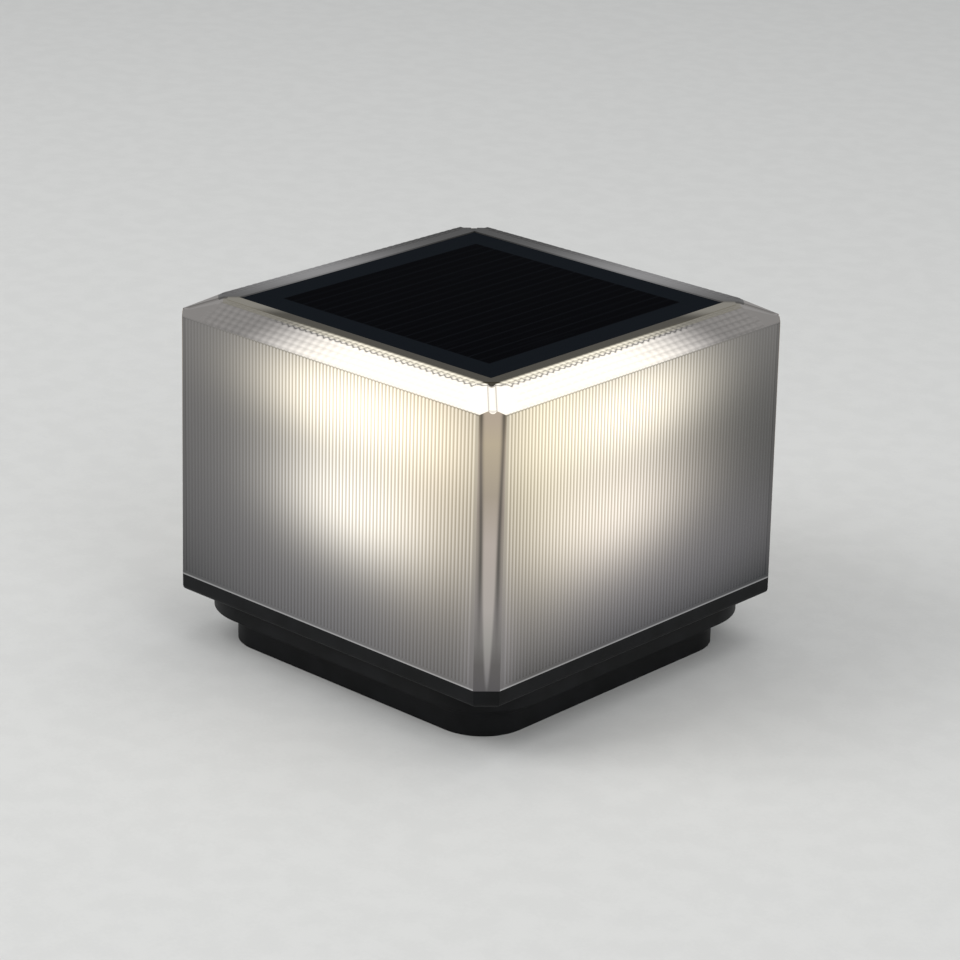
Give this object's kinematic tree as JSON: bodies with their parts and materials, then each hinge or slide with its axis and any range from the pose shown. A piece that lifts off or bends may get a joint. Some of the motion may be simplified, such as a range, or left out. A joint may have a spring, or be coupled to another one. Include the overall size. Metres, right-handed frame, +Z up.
{
  "type": "solar pillar light",
  "caption": "Square solar light for a wall or pillar top: reeded translucent diffuser, flush solar panel, black base plate that drops over a flared screw-down foot.",
  "frame": {"origin": "middle of the foot's underside, where the light stands on the masonry", "axes": "+Z up; +X and +Y are square to the four sides"},
  "size_m": [0.2, 0.2, 0.1652],
  "materials": {
    "black_abs": "moulded, fine satin texture",
    "frosted_diffuser": "moulded, translucent, reeded outside",
    "white_abs": "moulded, satin",
    "panel_glass": "flat tempered sheet, ground edges",
    "panel_backing": "laminated sheet",
    "silicon": "anti-reflection coated",
    "tinned_copper": "tinned strip",
    "steel": "zinc plated",
    "rubber_seal": "moulded",
    "foam": "closed-cell foam",
    "circuit_board": "solder resist",
    "light_board": "white solder resist",
    "chip_black": "moulded",
    "led": "phosphor in clear resin",
    "battery_wrap": "shrunk film",
    "red_button": "moulded",
    "red_lead": "vinyl insulation",
    "white_lead": "vinyl insulation",
    "black_lead": "vinyl insulation"
  },
  "bodies": {
    "foot": {"mounting_foot": "black_abs", "foot_seal": "foam", "lock_screws": "steel"},
    "head": {"base_plate": "black_abs", "diffuser_seal": "rubber_seal", "diffuser": "frosted_diffuser", "diffuser_screws": "steel", "light_core": "white_abs", "core_screws": "steel", "light_boards": "light_board", "light_board_screws": "steel", "leds": "led", "control_board": "circuit_board", "control_board_screws": "steel", "board_parts": "chip_black", "battery_cells": "battery_wrap", "battery_springs": "steel", "battery_contacts": "steel", "battery_hatch": "black_abs", "hatch_seal": "rubber_seal", "hatch_screws": "steel", "switch_body": "black_abs", "switch_seal": "rubber_seal", "switch_nut": "black_abs", "vent_plug": "rubber_seal", "lead_grommet": "rubber_seal", "panel_foam": "foam", "panel_back": "panel_backing", "solar_cells": "silicon", "cell_ribbons": "tinned_copper", "panel_glass": "panel_glass", "panel_leads": "red_lead", "light_leads": "white_lead", "battery_leads": "black_lead", "switch_leads": "black_lead"},
    "button": {"switch_button": "red_button"}
  },
  "joints": [
    {"name": "head_lift", "type": "slide", "parent": "foot", "child": "head", "axis": [0, 0, 1], "range_m": [0, 0.03]},
    {"name": "button_press", "type": "slide", "parent": "head", "child": "button", "axis": [0, 0, 1], "range_m": [0, 0.002], "stiffness_N_per_m": 300, "springref_m": -0.001}
  ]
}
